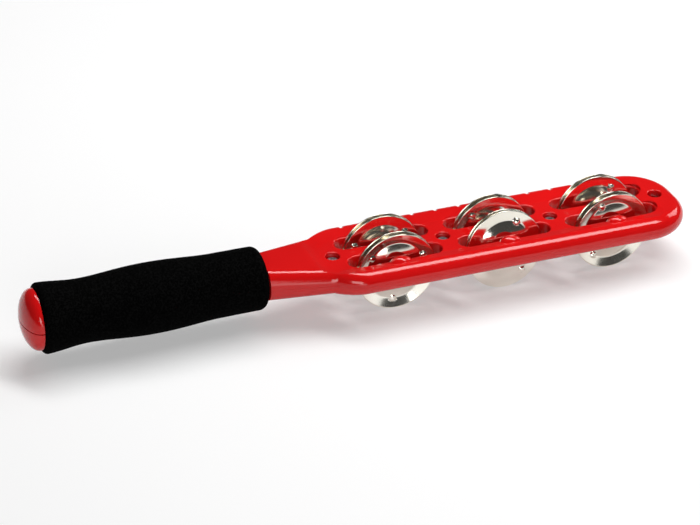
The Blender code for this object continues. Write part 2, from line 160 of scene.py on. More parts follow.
def outline(shape, places, closed=True):
    """Corners at these places, and the edges from each one to the next."""
    corners = [shape.verts.new(place) for place in places]
    following = corners[1:] + corners[:1] if closed else corners[1:]
    return corners, [shape.edges.new(pair) for pair in zip(corners, following)]


def turned(shape, places, axis, steps, closed=True, whole=True):
    """Spins an outline about an axis through the origin, by a full turn or by half of one."""
    corners, edges = outline(shape, places, closed)
    bmesh.ops.spin(
        shape,
        geom=corners + edges,
        cent=(0, 0, 0),
        axis=axis,
        angle=2 * math.pi if whole else math.pi,
        steps=steps,
        use_merge=whole,
    )


# %% [markdown]
# ## Node materials
# Each finish is a small node tree. Patterns read Object coordinates, which are the same as the places in
# the mesh, because every piece lies at the origin. The scales are therefore in cycles per metre.

# %% Node helpers
def new_material(name):
    material = bpy.data.materials.new(name)
    material.use_nodes = True
    tree = material.node_tree
    place = tree.nodes.new("ShaderNodeTexCoord")
    return material, tree, tree.nodes["Principled BSDF"], place.outputs["Object"]


def noise(tree, vector, scale, detail=3.0, roughness=0.5):
    node = tree.nodes.new("ShaderNodeTexNoise")
    node.inputs["Scale"].default_value = scale
    node.inputs["Detail"].default_value = detail
    node.inputs["Roughness"].default_value = roughness
    tree.links.new(vector, node.inputs["Vector"])
    return node.outputs["Fac"]


def ramp(tree, value, stops):
    """A colour ramp through (position, colour) stops."""
    node = tree.nodes.new("ShaderNodeValToRGB")
    elements = node.color_ramp.elements
    for element, (position, colour) in zip(elements, (stops[0], stops[-1])):
        element.position = position
        element.color = (*colour, 1.0)
    for position, colour in stops[1:-1]:
        element = elements.new(position)
        element.color = (*colour, 1.0)
    tree.links.new(value, node.inputs["Fac"])
    return node.outputs["Color"]


def levels(tree, value, low, high):
    """Maps a 0 to 1 pattern to a range of values."""
    node = tree.nodes.new("ShaderNodeMapRange")
    node.inputs["To Min"].default_value = low
    node.inputs["To Max"].default_value = high
    tree.links.new(value, node.inputs["Value"])
    return node.outputs["Result"]


def bump(tree, shader, height, distance, strength):
    node = tree.nodes.new("ShaderNodeBump")
    node.inputs["Distance"].default_value = distance
    node.inputs["Strength"].default_value = strength
    tree.links.new(height, node.inputs["Height"])
    tree.links.new(node.outputs["Normal"], shader.inputs["Normal"])


# %% [markdown]
# ### Glossy red plastic
# Moulded ABS is a strong, even red with a hard gloss. Three faint patterns keep it from looking computed:
# a slow change of depth in the colour, as the wall gets thicker and thinner, a fine grain in the gloss,
# and a very shallow waviness, the sink that moulded faces have, which bends the highlights a little.

# %% Red plastic
def red_plastic():
    material, tree, shader, place = new_material("red_plastic")
    slow = noise(tree, place, 26.0, 2.0)
    colour = ramp(tree, slow, ((0.3, (0.620, 0.0040, 0.0045)), (0.7, (0.700, 0.0055, 0.0060))))
    tree.links.new(colour, shader.inputs["Base Color"])
    grain = noise(tree, place, 900.0, 2.0)
    tree.links.new(levels(tree, grain, 0.08, 0.14), shader.inputs["Roughness"])
    shader.inputs["IOR"].default_value = 1.53
    shader.inputs["Specular IOR Level"].default_value = 0.36
    sink = noise(tree, place, 95.0, 2.0)
    bump(tree, shader, sink, 0.00012, 0.5)
    return material


RED = red_plastic()
print("finish", RED.name)

# %% [markdown]
# ### Black foam
# The grip is closed-cell foam: dull black, with a fine skin of tiny cells that catch a little light.
# Two sizes of cells are mixed, for the colour and the bump alike, and a slower pattern makes some
# patches duller than others.

# %% Foam
FOAM_TONES = (
    (0.50, (0.0001, 0.0001, 0.0001)),
    (0.90, (0.0005, 0.0005, 0.0005)),
    (1.0, (0.003, 0.003, 0.003)),
)


def black_foam():
    material, tree, shader, place = new_material("black_foam")
    cells = tree.nodes.new("ShaderNodeTexVoronoi")
    cells.inputs["Scale"].default_value = 1500.0
    tree.links.new(place, cells.inputs["Vector"])
    fine = noise(tree, place, 2600.0, 3.0, 0.7)
    mix = tree.nodes.new("ShaderNodeMath")
    mix.operation = "MULTIPLY_ADD"
    tree.links.new(cells.outputs["Distance"], mix.inputs[0])
    mix.inputs[1].default_value = 0.8
    tree.links.new(fine, mix.inputs[2])
    tree.links.new(ramp(tree, mix.outputs["Value"], FOAM_TONES), shader.inputs["Base Color"])
    patches = noise(tree, place, 60.0, 2.0)
    tree.links.new(levels(tree, patches, 0.78, 0.95), shader.inputs["Roughness"])
    shader.inputs["Specular IOR Level"].default_value = 0.012
    bump(tree, shader, mix.outputs["Value"], 0.00018, 0.8)
    return material


FOAM = black_foam()
print("finish", FOAM.name)

# %% [markdown]
# ### Nickel plate and plain steel
# Polished nickel is a warm mirror. Its colour shifts a little towards yellow in patches, handling leaves
# faint marks that only show in the roughness, and a slow ripple in the sheet bends what it mirrors. The
# pins are plain bright steel, and the screws are plated with zinc, which is duller.

# %% Metals
def nickel_plate():
    material, tree, shader, place = new_material("nickel_plate")
    shader.inputs["Metallic"].default_value = 1.0
    tint = noise(tree, place, 45.0, 2.0)
    colour = ramp(tree, tint, ((0.35, (0.80, 0.76, 0.67)), (0.65, (0.88, 0.85, 0.77))))
    tree.links.new(colour, shader.inputs["Base Color"])
    marks = noise(tree, place, 380.0, 4.0, 0.6)
    tree.links.new(levels(tree, marks, 0.06, 0.17), shader.inputs["Roughness"])
    ripple = noise(tree, place, 120.0, 1.0)
    bump(tree, shader, ripple, 0.00008, 0.35)
    return material


def plain_steel(name, colour, roughness):
    material, tree, shader, place = new_material(name)
    shader.inputs["Metallic"].default_value = 1.0
    dull = tuple(channel * 0.82 for channel in colour)
    wear = noise(tree, place, 700.0, 3.0)
    tree.links.new(ramp(tree, wear, ((0.3, dull), (0.7, colour))), shader.inputs["Base Color"])
    tree.links.new(levels(tree, wear, roughness * 0.8, roughness * 1.3), shader.inputs["Roughness"])
    bump(tree, shader, wear, 0.00003, 0.5)
    return material


NICKEL = nickel_plate()
STEEL = plain_steel("bright_steel", (0.62, 0.61, 0.60), 0.22)
ZINC = plain_steel("zinc_plate", (0.50, 0.50, 0.52), 0.34)
print("finishes", NICKEL.name, STEEL.name, ZINC.name)

# %% [markdown]
# ## The moulded body
# The outside of one shell is a skin swept through sections. Each section is an open chain of edges: along
# under the seam from the middle line to the edge, up the edge in a quarter of an ellipse, and back over
# the top to the middle line. A block with bevels would be quicker, but this edge changes its height and
# its roundness along the body, which sections can follow.

# %% One section
EDGE_STEPS = 16
# The skin reaches this far under the middle plane, and is cut off flat at the seam later.
FOOT = 0.0010


def chain(shape, edge, inward, reach, height, foot_x, top_x):
    """Edges from under the seam, round the edge of the body and over to its middle line."""
    places = [Vector((foot_x, 0, -FOOT)), Vector((edge.x, edge.y, -FOOT))]
    for step in range(EDGE_STEPS + 1):
        angle = math.pi / 2 * step / EDGE_STEPS
        across = edge + inward * reach * (1 - math.cos(angle))
        places.append(Vector((across.x, across.y, SEAM + (height - SEAM) * math.sin(angle))))
    places.append(Vector((top_x, 0, height)))
    return outline(shape, places, closed=False)[1]


def straight_chain(shape, x, half_width, half_height, reach):
    return chain(shape, Vector((x, half_width)), Vector((0, -1)), reach, half_height, x, x)


# %% [markdown]
# ### From the neck to the far end
# The neck is a rounded bar that widens and thins towards a crease. There the shoulders swell out in a
# quarter of a sine wave into the head, whose edge is half round all the way. At the far corner the
# sections fan out round a centre, and the last one stands on the middle line of the end.

# %% Sections of the neck, shoulder and corner
NECK_ROWS = 12
NECK_REACH = 0.0055
NECK_HALF_HEIGHT = 0.0070
NECK_HALF_WIDTH = 0.0120
CREASE_HALF_WIDTH = 0.0178
CREASE_HALF_HEIGHT = 0.0056
SHOULDER_ROWS = 12
SHOULDER_LENGTH = 0.0130
CORNER_ROWS = 24
CORNER_RADIUS = 0.0200


def eased(share):
    return share * share * (3 - 2 * share)


def neck_chains(shape):
    chains = []
    for row in range(NECK_ROWS + 1):
        share = row / NECK_ROWS
        half_width = NECK_HALF_WIDTH + (CREASE_HALF_WIDTH - NECK_HALF_WIDTH) * share
        half_height = NECK_HALF_HEIGHT + (CREASE_HALF_HEIGHT - NECK_HALF_HEIGHT) * share
        x = NECK_X + (CREASE_X - NECK_X) * share
        chains.append(straight_chain(shape, x, half_width, half_height, NECK_REACH))
    return chains


def shoulder_chains(shape):
    chains = []
    for row in range(1, SHOULDER_ROWS + 1):
        share = row / SHOULDER_ROWS
        half_width = CREASE_HALF_WIDTH + (HEAD_HALF - CREASE_HALF_WIDTH) * math.sin(math.pi / 2 * share)
        half_height = CREASE_HALF_HEIGHT + (RIM_HALF - CREASE_HALF_HEIGHT) * eased(share)
        x = CREASE_X + SHOULDER_LENGTH * share
        chains.append(straight_chain(shape, x, half_width, half_height, RIM_HALF))
    return chains


def corner_chains(shape):
    chains = []
    centre = Vector((END_X - CORNER_RADIUS, HEAD_HALF - CORNER_RADIUS))
    for row in range(CORNER_ROWS + 1):
        angle = math.pi / 2 * (1 - row / CORNER_ROWS)
        outward = Vector((math.cos(angle), math.sin(angle)))
        rim = centre + outward * CORNER_RADIUS
        top_x = rim.x - outward.x * RIM_HALF
        chains.append(chain(shape, rim, -outward, RIM_HALF, RIM_HALF, rim.x, top_x))
    end = Vector((END_X, 0))
    chains.append(chain(shape, end, Vector((-1, 0)), RIM_HALF, RIM_HALF, END_X, END_X - RIM_HALF))
    return chains


# %% [markdown]
# ### The skin
# Each chain is bridged to the next, which makes one side of one shell. The first section, where the neck
# leaves the grip, is closed with a face. Then the side is mirrored over the middle line, the doubles
# there are merged, and the normals are turned outwards.

# %% Skin
def body_skin():
    shape = bmesh.new()
    chains = neck_chains(shape) + shoulder_chains(shape) + corner_chains(shape)
    for first, second in zip(chains, chains[1:]):
        bmesh.ops.bridge_loops(shape, edges=first + second)
    first_corners = [edge.verts[0] for edge in chains[0]] + [chains[0][-1].verts[1]]
    shape.faces.new(first_corners)
    bmesh.ops.remove_doubles(shape, verts=shape.verts, dist=WELD)
    everything = shape.verts[:] + shape.edges[:] + shape.faces[:]
    bmesh.ops.mirror(shape, geom=everything, axis="Y", merge_dist=WELD)
    bmesh.ops.remove_doubles(shape, verts=shape.verts, dist=WELD)
    bmesh.ops.recalc_face_normals(shape, faces=shape.faces)
    return shape


# %% [markdown]
# ### The sunk web
# The web between the rims lies lower than they do. It is sunk with a block whose four sides lean outwards,
# so that each rim slopes down to the web, and whose upright corners are rounded as a moulding cutter
# leaves them. The block is twice as high as the rims stand over the web, so its long sides lean out by
# twice the width of a rim's slope.

# %% Block that sinks the web
WEB_SIDE = ROW_Y + SLOT_HALF_WIDTH + 0.0001
RIM_SLOPE = 0.0057
WEB_TO_END = 0.018
END_LEAN = 0.010
NECK_LEAN = 0.0062
WEB_CORNER = 0.0035


def pocket():
    rise = 2 * (RIM_HALF - WEB_HALF)
    shape = bmesh.new()
    bmesh.ops.create_cube(shape, size=2)
    for corner in shape.verts:
        top = corner.co.z > 0
        x = END_X - WEB_TO_END + top * END_LEAN if corner.co.x > 0 else CREASE_X - top * NECK_LEAN
        y = math.copysign(WEB_SIDE + top * 2 * RIM_SLOPE, corner.co.y)
        corner.co = (x, y, WEB_HALF + top * rise)
    uprights = [edge for edge in shape.edges if abs(edge.verts[0].co.z - edge.verts[1].co.z) > 0.001]
    bmesh.ops.bevel(
        shape, geom=uprights, offset=WEB_CORNER, segments=8, profile=0.5, affect="EDGES", material=-1
    )
    return helper("pocket", shape)


# %% [markdown]
# ### Slots and screw recesses
# A slot is a circle whose two halves are pulled apart. Its cutter stands upright and opens near the top
# in a quarter round, which leaves the soft edge of a moulding. A bevel after the cut would have to cope
# with the edges that the bosses leave. The screw recesses use the same cutter, with nothing pulled apart.

# %% Flared cutters
RING_SEGMENTS = 48
FLARE_STEPS = 6
# The cutter goes on over the face, a hair wider than its flare, so that its top doesn't lie in the face.
CUTTER_SPREAD = 1.02
CUTTER_ABOVE = 0.004
SLOT_BOTTOM = -0.002
SLOT_FLARE = 0.0007
RECESS_RADIUS = 0.0030
RECESS_BOTTOM = 0.0009
RECESS_FLARE = 0.0006


def ring(shape, x, y, radius, pull, z):
    """A circle at this height, its two halves pulled apart along X to make a round-ended slot."""
    made = bmesh.ops.create_circle(shape, segments=RING_SEGMENTS, radius=radius)["verts"]
    bmesh.ops.rotate(shape, verts=made, matrix=Matrix.Rotation(math.pi / RING_SEGMENTS, 3, "Z"))
    for corner in made:
        corner.co.x += math.copysign(pull, corner.co.x)
    bmesh.ops.translate(shape, vec=(x, y, z), verts=made)
    return list({edge for corner in made for edge in corner.link_edges})


def flared(shape, x, y, radius, pull, bottom, top, flare):
    """A cutter whose wall stands upright, then opens in a quarter round below the top level."""
    rows = [(radius, bottom), (radius, top - flare)]
    for step in range(1, FLARE_STEPS + 1):
        angle = math.pi / 2 * step / FLARE_STEPS
        rows.append((radius + flare * (1 - math.cos(angle)), top - flare + flare * math.sin(angle)))
    rows.append((radius + flare * CUTTER_SPREAD, top + CUTTER_ABOVE))
    rings = [ring(shape, x, y, wide, pull, level) for wide, level in rows]
    for first, second in zip(rings, rings[1:]):
        bmesh.ops.bridge_loops(shape, edges=first + second)
    bmesh.ops.holes_fill(shape, edges=rings[0] + rings[-1])


def slot_cutter():
    shape = bmesh.new()
    pull = SLOT_HALF_LENGTH - SLOT_HALF_WIDTH
    for x in slot_x:
        for side in (1, -1):
            flared(shape, x, side * ROW_Y, SLOT_HALF_WIDTH, pull, SLOT_BOTTOM, WEB_HALF, SLOT_FLARE)
    bmesh.ops.recalc_face_normals(shape, faces=shape.faces)
    return helper("slots", shape)


def recess_cutter():
    """The last screw stands past the web, where the face is as high as the rims."""
    shape = bmesh.new()
    for x in screw_x:
        level = RIM_HALF if x == screw_x[-1] else WEB_HALF
        flared(shape, x, 0, RECESS_RADIUS, 0, RECESS_BOTTOM, level, RECESS_FLARE)
    bmesh.ops.recalc_face_normals(shape, faces=shape.faces)
    return helper("recesses", shape)


# %% [markdown]
# ### The scraping grooves
# Eleven shallow grooves run round the rear edge. Each is cut with half of a thin ring, which is as round
# inside as the edge itself and is sunk a little into it, so that the groove fades out towards the crest.

# %% Grooves
GROOVES = 11
FIRST_GROOVE = 0.0165
GROOVE_PITCH = 0.01085
GROOVE_RADIUS = 0.0016
GROOVE_SINK = 0.0012


def groove_cutter():
    shape = bmesh.new()
    for number in range(GROOVES):
        wire = bmesh.ops.create_circle(shape, segments=16, radius=GROOVE_RADIUS)["verts"]
        bmesh.ops.translate(shape, vec=(0, RIM_HALF + GROOVE_RADIUS, 0), verts=wire)
        bmesh.ops.rotate(shape, verts=wire, matrix=Matrix.Rotation(math.pi / 2, 3, "X"))
        edges = list({edge for corner in wire for edge in corner.link_edges})
        bmesh.ops.spin(
            shape,
            geom=wire + edges,
            cent=(0, 0, 0),
            axis=(1, 0, 0),
            angle=-math.pi,
            steps=32,
            use_merge=False,
        )
        x = CREASE_X + FIRST_GROOVE + number * GROOVE_PITCH
        fresh = [corner for corner in shape.verts if not corner.tag]
        bmesh.ops.translate(shape, vec=(x, HEAD_HALF - RIM_HALF - GROOVE_SINK, 0), verts=fresh)
        for corner in fresh:
            corner.tag = True
    bmesh.ops.holes_fill(shape, edges=[edge for edge in shape.edges if edge.is_boundary])
    bmesh.ops.recalc_face_normals(shape, faces=shape.faces)
    return helper("grooves", shape)


# %% [markdown]
# ### The bosses and the seam
# The bosses that carry the pins show as smooth humps in the slopes of the rims, halfway along each slot.
# Each is a stretched ball, joined to the shell before the slots are cut, so that the slot trims it. In
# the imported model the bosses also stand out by 1.5 mm into the slots, which is left out here. Last, a
# slab cuts the skin off flat at the seam.

# %% Humps and parting
HUMP_Y = ROW_Y + SLOT_HALF_WIDTH + 0.0018
HUMP_Z = 0.0029
HUMP_SIZE = (0.0052, 0.0035, 0.0034)
SLAB_SIZE = (0.4, 0.1, 0.02)


def hump_shape():
    shape = bmesh.new()
    for x in slot_x:
        for side in (1, -1):
            stretch = Matrix.Translation((x, side * HUMP_Y, HUMP_Z)) @ Matrix.Diagonal((*HUMP_SIZE, 1))
            bmesh.ops.create_uvsphere(shape, u_segments=40, v_segments=24, radius=1, matrix=stretch)
    return helper("humps", shape)


def parting():
    shape = bmesh.new()
    place = Matrix.Translation((0, 0, SEAM - SLAB_SIZE[2] / 2)) @ Matrix.Diagonal((*SLAB_SIZE, 1))
    bmesh.ops.create_cube(shape, size=1, matrix=place)
    return helper("parting", shape)


# %% [markdown]
# ### The handle end
# The butt is a dome that closes the foam, and a tube of about half its thickness runs through the grip.
# Both are one outline of a few points, spun half a turn about the stick's axis. The halves keep a little
# further apart here, because the parting line shows as a thin dark line round the butt.

# %% Butt and core
BUTT_SEAM = 0.00022
BUTT_RADIUS = 0.0127
BUTT_DEPTH = 0.0070
BUTT_LIP = 0.0007
BUTT_STEPS = 16
CORE_RADIUS = 0.0070
CORE_WALL = 0.0022
# The tube's bore runs on this far into the butt.
BORE_REACH = 0.004
# The outline keeps a hair away from the axis that it is spun about.
NEAR_AXIS = 0.00001


def handle_profile():
    """(x, radius) points round the dome, along the tube and back through its bore."""
    points = []
    for step in range(BUTT_STEPS + 1):
        angle = math.pi / 2 * step / BUTT_STEPS
        x = GRIP_X - BUTT_LIP - (BUTT_DEPTH - BUTT_LIP) * math.cos(angle)
        points.append((x, max(BUTT_RADIUS * math.sin(angle), NEAR_AXIS)))
    return points + [
        (GRIP_X - BUTT_LIP * 0.3, BUTT_RADIUS - BUTT_LIP * 0.1),
        (GRIP_X, BUTT_RADIUS - BUTT_LIP * 0.6),
        (GRIP_X, CORE_RADIUS),
        (NECK_X, CORE_RADIUS),
        (NECK_X, CORE_RADIUS - CORE_WALL),
        (GRIP_X - BORE_REACH, CORE_RADIUS - CORE_WALL),
        (GRIP_X - BORE_REACH, NEAR_AXIS),
    ]


def half_handle():
    """The mesh of the upper half, closed and lifted off the middle plane."""
    shape = bmesh.new()
    places = [(x, radius, 0) for x, radius in handle_profile()]
    turned(shape, places, axis=(1, 0, 0), steps=32, whole=False)
    bmesh.ops.remove_doubles(shape, verts=shape.verts, dist=WELD)
    bmesh.ops.holes_fill(shape, edges=[edge for edge in shape.edges if edge.is_boundary])
    bmesh.ops.recalc_face_normals(shape, faces=shape.faces)
    bmesh.ops.translate(shape, vec=(0, 0, BUTT_SEAM), verts=shape.verts)
    mesh = bpy.data.meshes.new("handle")
    shape.to_mesh(mesh)
    shape.free()
    return mesh


# %% [markdown]
# ### Both shells
# The skin is cut and joined in turn, then the lower shell is the same shape turned over. Its underside
# has no recesses, because the screws go in from above. A Weighted Normal modifier keeps the flat faces
# flat in the shading, which is what makes clean highlights next to the rounded edges.

# %% Upper and lower shell
def shell(name, side):
    body = helper(name, body_skin())
    cut(body, pocket())
    cut(body, hump_shape(), "UNION")
    cut(body, slot_cutter())
    if side > 0:
        cut(body, recess_cutter())
    cut(body, groove_cutter())
    cut(body, parting())
    shape = shape_of(body)
    shape.from_mesh(half_handle())
    if side < 0:
        bmesh.ops.scale(shape, vec=(1, 1, -1), verts=shape.verts)
        bmesh.ops.reverse_faces(shape, faces=shape.faces)
    bmesh.ops.translate(shape, vec=(0, 0, MIDDLE), verts=shape.verts)
    made = piece(f"red_{name}", shape, RED, "red_plastic", "stick", name)
    smooth(made, 32)
    weighted = made.modifiers.new("flat faces stay flat", "WEIGHTED_NORMAL")
    weighted.keep_sharp = True
    print(made.name, "faces", len(made.data.polygons))


shell("upper_shell", 1)
shell("lower_shell", -1)

# %% [markdown]
# ## The foam grip
# The grip is one thick sleeve with two gentle swells and rolled ends. Its radius is given at a few shares
# of its length, and eased from one to the next with a cosine. A curve object with a bevel could make the
# same sleeve, but a spun outline also gives it a bore and two ends of different roundness.

# %% Outline of the grip
# Each pair is a share of the length, counted from the butt, and the radius there.
SWELLS = ((0.0, 0.0147), (0.20, 0.0134), (0.50, 0.0149), (0.79, 0.0136), (1.0, 0.0134))
GRIP_BORE = 0.0073
GRIP_STEPS = 120
BUTT_ROUND = 0.0018
BUTT_ROUND_STEPS = 8
NECK_ROUND = 0.0032
NECK_ROUND_STEPS = 12


def grip_radius(share):
    for (start, low), (end, high) in zip(SWELLS, SWELLS[1:]):
        if share <= end:
            return low + (high - low) * (1 - math.cos(math.pi * (share - start) / (end - start))) / 2
    return SWELLS[-1][1]


def grip_profile(low, high):
    """(x, radius) points from the bore at the butt, over the outside, to the bore at the neck."""
    points = [(low, GRIP_BORE)]
    for step in range(BUTT_ROUND_STEPS + 1):
        angle = math.pi / 2 * step / BUTT_ROUND_STEPS
        x = low + BUTT_ROUND * (1 - math.cos(angle))
        points.append((x, grip_radius(0.0) - BUTT_ROUND * (1 - math.sin(angle))))
    for step in range(1, GRIP_STEPS):
        x = low + BUTT_ROUND + (high - NECK_ROUND - low - BUTT_ROUND) * step / GRIP_STEPS
        points.append((x, grip_radius((x - low) / (high - low))))
    for step in range(NECK_ROUND_STEPS + 1):
        angle = math.pi / 2 * step / NECK_ROUND_STEPS
        x = high - NECK_ROUND * (1 - math.sin(angle))
        points.append((x, grip_radius(1.0) - NECK_ROUND * (1 - math.cos(angle))))
    return points + [(high, GRIP_BORE)]


# %% [markdown]
# ### Soft foam
# Foam is soft, so a little unevenness is pressed into the spun sleeve: two slow waves along and round it,
# a fraction of a millimetre deep. Only the skin is pressed, and the bore stays true on its tube.

# %% Foam grip
SKIN_FROM = 0.0085
DENT = 0.00006
# Each wave has a strength, and how fast it runs along the sleeve and round it.
FOAM_WAVES = ((1.0, 210, 2), (0.6, 97, -3))


def press(shape):
    for corner in shape.verts:
        radius = math.hypot(corner.co.y, corner.co.z)
        if radius > SKIN_FROM:
            turn = math.atan2(corner.co.z, corner.co.y)
            wave = sum(
                size * math.sin(corner.co.x * along + around * turn) for size, along, around in FOAM_WAVES
            )
            dent = 1 - DENT / radius * (1 + wave)
            corner.co.y *= dent
            corner.co.z *= dent


def foam_grip():
    low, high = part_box("foam_grip")
    shape = bmesh.new()
    places = [(x, 0, radius) for x, radius in grip_profile(low.x, high.x)]
    turned(shape, places, axis=(1, 0, 0), steps=128)
    bmesh.ops.recalc_face_normals(shape, faces=shape.faces)
    press(shape)
    bmesh.ops.translate(shape, vec=(0, 0, MIDDLE), verts=shape.verts)
    made = piece("grip", shape, FOAM, "foam", "stick", "foam_grip")
    smooth(made, 50)
    print("grip", round(high.x - low.x, 4), "m long")


foam_grip()

# %% [markdown]
# ## The jingles
# A jingle is stamped from thin sheet: a flange that flares a little, a crease, a dome, and a bore that
# hangs on the pin. The height of the sheet is the greater of two curves, a dome and a flange, and a small
# rounding where they meet makes the crease. The outline follows that height on both faces of the sheet,
# with a rolled rim between them.

# %% Outline of the sheet
JINGLE_RADIUS = 0.0175
JINGLE_BORE = 0.0033
JINGLE_STEPS = 56
ROLL_STEPS = 6
SHEET = 0.0005
DOME_RADIUS = 0.0129
DOME_RISE = 0.0018
DOME_FLAT = 0.0042
CREASE_ROUND = 0.00018


def sheet_height(radius, flare):
    """How far the inner face of the sheet stands over its crease at this radius."""
    share = max(0.0, radius - DOME_FLAT) / (DOME_RADIUS - DOME_FLAT)
    dome = DOME_RISE * (1 - share**2)
    flange = flare * (radius - DOME_RADIUS) / (JINGLE_RADIUS - DOME_RADIUS)
    return (dome + flange + math.hypot(dome - flange, CREASE_ROUND)) / 2


def jingle_profile(flare):
    """(radius, height) points round the sheet: its outer face, rolled rim, inner face and bore."""
    rim = JINGLE_RADIUS - SHEET / 2
    radii = [JINGLE_BORE + (rim - JINGLE_BORE) * step / JINGLE_STEPS for step in range(JINGLE_STEPS + 1)]
    outer = [(radius, sheet_height(radius, flare) + SHEET) for radius in radii]
    inner = [(radius, sheet_height(radius, flare)) for radius in reversed(radii)]
    middle = sheet_height(rim, flare) + SHEET / 2
    rolled = []
    for step in range(1, ROLL_STEPS):
        angle = math.pi / 2 - math.pi * step / ROLL_STEPS
        rolled.append((rim + SHEET / 2 * math.cos(angle), middle + SHEET / 2 * math.sin(angle)))
    return outer + rolled + inner


# %% [markdown]
# ### One jingle
# The outline is spun a full turn. Three pips are pressed up from behind, so the same bulge is given to
# both faces of the sheet near three points of the flange. Then the disc is stood up on its pin with the
# dome facing out of the pair, and is leant back and swung a little about the pin's middle.

# %% Disc with its pips
PIPS = 3
PIP_CIRCLE = 0.0132
PIP_RADIUS = 0.0015
PIP_RISE = 0.0011


def pip_bulge(radius, angle, turn):
    """How far the sheet is pressed up here: a low cap round each of three points."""
    for pip in range(PIPS):
        middle = math.radians(turn + 360 / PIPS * pip)
        away = math.hypot(
            radius * math.cos(angle) - PIP_CIRCLE * math.cos(middle),
            radius * math.sin(angle) - PIP_CIRCLE * math.sin(middle),
        )
        if away < PIP_RADIUS:
            return PIP_RISE * math.sqrt(1 - (away / PIP_RADIUS) ** 2)
    return 0.0


def jingle(pair, face, turn, tilt, yaw, flare):
    """One disc of a pair: its pips turned, and the disc leant back and swung, by these degrees."""
    node = f"jingle_{pair}_{face}"
    low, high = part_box(node)
    centre = (low + high) / 2
    outward, inner_face = (-1, high.y) if face == "near" else (1, low.y)
    shape = bmesh.new()
    places = [(radius, 0, height) for radius, height in jingle_profile(flare)]
    turned(shape, places, axis=(0, 0, 1), steps=180)
    for corner in shape.verts:
        radius = math.hypot(corner.co.x, corner.co.y)
        corner.co.z += pip_bulge(radius, math.atan2(corner.co.y, corner.co.x), turn)
    bmesh.ops.recalc_face_normals(shape, faces=shape.faces)
    stand = Matrix.Rotation(-outward * math.pi / 2, 4, "X")
    place = Matrix.Translation((centre.x, inner_face, centre.z)) @ stand
    bmesh.ops.transform(shape, matrix=place, verts=shape.verts)
    lean = Matrix.Rotation(math.radians(yaw), 3, "Z") @ Matrix.Rotation(-math.radians(tilt), 3, "X")
    bmesh.ops.rotate(shape, verts=shape.verts, cent=middle_of(f"pin_{pair}"), matrix=lean)
    made = piece(f"disc_{pair}_{face}", shape, NICKEL, "jingles", node, node)
    smooth(made, 40)


# %% [markdown]
# ### All twelve jingles
# A loose pair never hangs quite straight, and no two discs are stamped quite alike. So each pair has its
# own lean and swing, and the discs have their own turn of the pips and their own flare, which is what
# gives them their different patterns of red, white and black reflections.

# %% Six pairs
PARTNER_TURN = 47
# For each pair: the turn of its pips, its lean and its swing in degrees, then the near and far flare.
HANGS = {
    "front_1": (25, 0.0, -1.5, 0.0016, 0.0002),
    "front_2": (66, 6.0, -0.5, -0.0002, 0.0012),
    "front_3": (-7, 0.5, 2.0, 0.0016, 0.0003),
    "rear_1": (38, 0.0, -1.5, 0.0008, 0.0004),
    "rear_2": (11, -1.0, 1.0, 0.0012, 0.0004),
    "rear_3": (57, 1.5, -1.0, 0.0006, 0.0006),
}
for pair, (turn, tilt, yaw, near_flare, far_flare) in HANGS.items():
    jingle(pair, "near", turn, tilt, yaw, near_flare)
    jingle(pair, "far", -turn - PARTNER_TURN, tilt, yaw, far_flare)

# %% [markdown]
# ## Pins
# The pins are cut from drawn wire, so each is a plain round bar with a small chamfer at both ends.

# %% Pins
PIN_RADIUS = 0.0014
PIN_CHAMFER = 0.0002


def pin(label):
    node = f"pin_{label}"
    low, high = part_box(node)
    shape = bmesh.new()
    bmesh.ops.create_cone(
        shape, cap_ends=True, segments=40, radius1=PIN_RADIUS, radius2=PIN_RADIUS, depth=high.y - low.y
    )
    rims = [edge for edge in shape.edges if abs(edge.verts[0].co.z - edge.verts[1].co.z) < 0.0001]
    bmesh.ops.bevel(
        shape, geom=rims, offset=PIN_CHAMFER, segments=2, profile=0.5, affect="EDGES", material=-1
    )
    place = Matrix.Translation((low + high) / 2) @ Matrix.Rotation(math.pi / 2, 4, "X")
    bmesh.ops.transform(shape, matrix=place, verts=shape.verts)
    made = piece(f"wire_{label}", shape, STEEL, "pins", node, node)
    smooth(made)


for row in ROWS:
    for number in NUMBERS:
        pin(f"{row}_{number}")

# %% [markdown]
# ## Screws
# The screws are self-tapping, with a low rounded head and a cross recess, and sit at the bottom of their
# recesses. Head and shank are one turned outline, from the top of the head down to the point, and two
# thin blocks cut the cross.

# %% Screws
HEAD_RADIUS = 0.0026
HEAD_RISE = 0.0012
SHANK_RADIUS = 0.00145
CROSS_TURN = 0.4
CROSS_SIZE = (HEAD_RADIUS * 1.15, 0.0006, 0.0014)


def screw_profile(top, tip):
    """(radius, height) points from the middle of the head, round it and down to the point."""
    seat = top - HEAD_RISE
    return [
        (0, top),
        (HEAD_RADIUS * 0.5, top - HEAD_RISE * 0.06),
        (HEAD_RADIUS * 0.82, top - HEAD_RISE * 0.28),
        (HEAD_RADIUS * 0.97, top - HEAD_RISE * 0.6),
        (HEAD_RADIUS, seat + HEAD_RISE * 0.15),
        (HEAD_RADIUS * 0.97, seat),
        (SHANK_RADIUS, seat),
        (SHANK_RADIUS, tip + SHANK_RADIUS),
        (0, tip),
    ]


